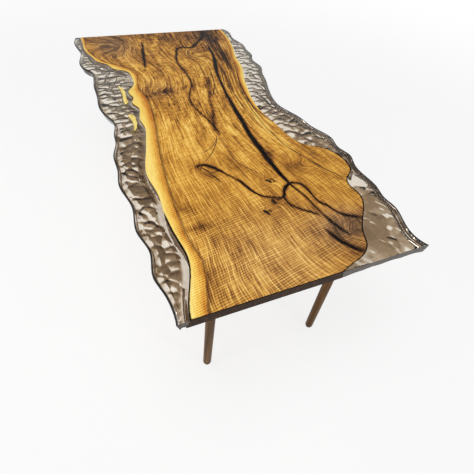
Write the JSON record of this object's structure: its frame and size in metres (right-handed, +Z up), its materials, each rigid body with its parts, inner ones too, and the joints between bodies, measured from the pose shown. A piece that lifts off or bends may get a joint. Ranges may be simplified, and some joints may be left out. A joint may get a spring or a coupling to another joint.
{
  "type": "dining table",
  "caption": "Long rectangular live-edge dining table: a cracked hardwood slab cast between clear rippled resin wings, on slim turned wooden legs with levelling glides.",
  "frame": {"origin": "on the floor below the middle of the top", "axes": "+X across the table to the right, +Y along its length from the near end, +Z up"},
  "size_m": [1.25, 2.5, 0.76],
  "materials": {
    "slab_wood": "oiled, polished",
    "sapwood": "polished",
    "clear_resin": "clear, polished top, rippled underside",
    "black_resin": "polished",
    "leg_wood": "satin lacquer",
    "black_steel": "black powder coat",
    "zinc_steel": "zinc plated",
    "brass": "plain",
    "nylon": "matte"
  },
  "bodies": {
    "table": {"wood_slab": "slab_wood", "left_resin_wing": "clear_resin", "right_resin_wing": "clear_resin", "crack_fill_river": "black_resin", "crack_fill_corner": "black_resin", "crack_fill_heart": "black_resin", "crack_fill_far_left": "black_resin", "sapwood_island_far": "sapwood", "sapwood_island_near": "sapwood", "channel_near": "black_steel", "channel_middle": "black_steel", "channel_far": "black_steel", "channel_screws": "zinc_steel", "channel_washers": "zinc_steel", "channel_inserts": "brass", "plate_screws": "zinc_steel", "hanger_bolts": "zinc_steel", "foot_inserts": "brass", "leg_near_left": "leg_wood", "leg_plate_near_left": "black_steel", "leg_near_right": "leg_wood", "leg_plate_near_right": "black_steel", "leg_far_left": "leg_wood", "leg_plate_far_left": "black_steel", "leg_far_right": "leg_wood", "leg_plate_far_right": "black_steel"},
    "glide_near_left": {"glide_pad_near_left": "nylon", "glide_stud_near_left": "zinc_steel"},
    "glide_near_right": {"glide_pad_near_right": "nylon", "glide_stud_near_right": "zinc_steel"},
    "glide_far_left": {"glide_pad_far_left": "nylon", "glide_stud_far_left": "zinc_steel"},
    "glide_far_right": {"glide_pad_far_right": "nylon", "glide_stud_far_right": "zinc_steel"}
  },
  "joints": [
    {"name": "level_near_left", "type": "slide", "parent": "table", "child": "glide_near_left", "axis": [0, 0, -1], "range_m": [0, 0.01]},
    {"name": "level_near_right", "type": "slide", "parent": "table", "child": "glide_near_right", "axis": [0, 0, -1], "range_m": [0, 0.01]},
    {"name": "level_far_left", "type": "slide", "parent": "table", "child": "glide_far_left", "axis": [0, 0, -1], "range_m": [0, 0.01]},
    {"name": "level_far_right", "type": "slide", "parent": "table", "child": "glide_far_right", "axis": [0, 0, -1], "range_m": [0, 0.01]}
  ]
}
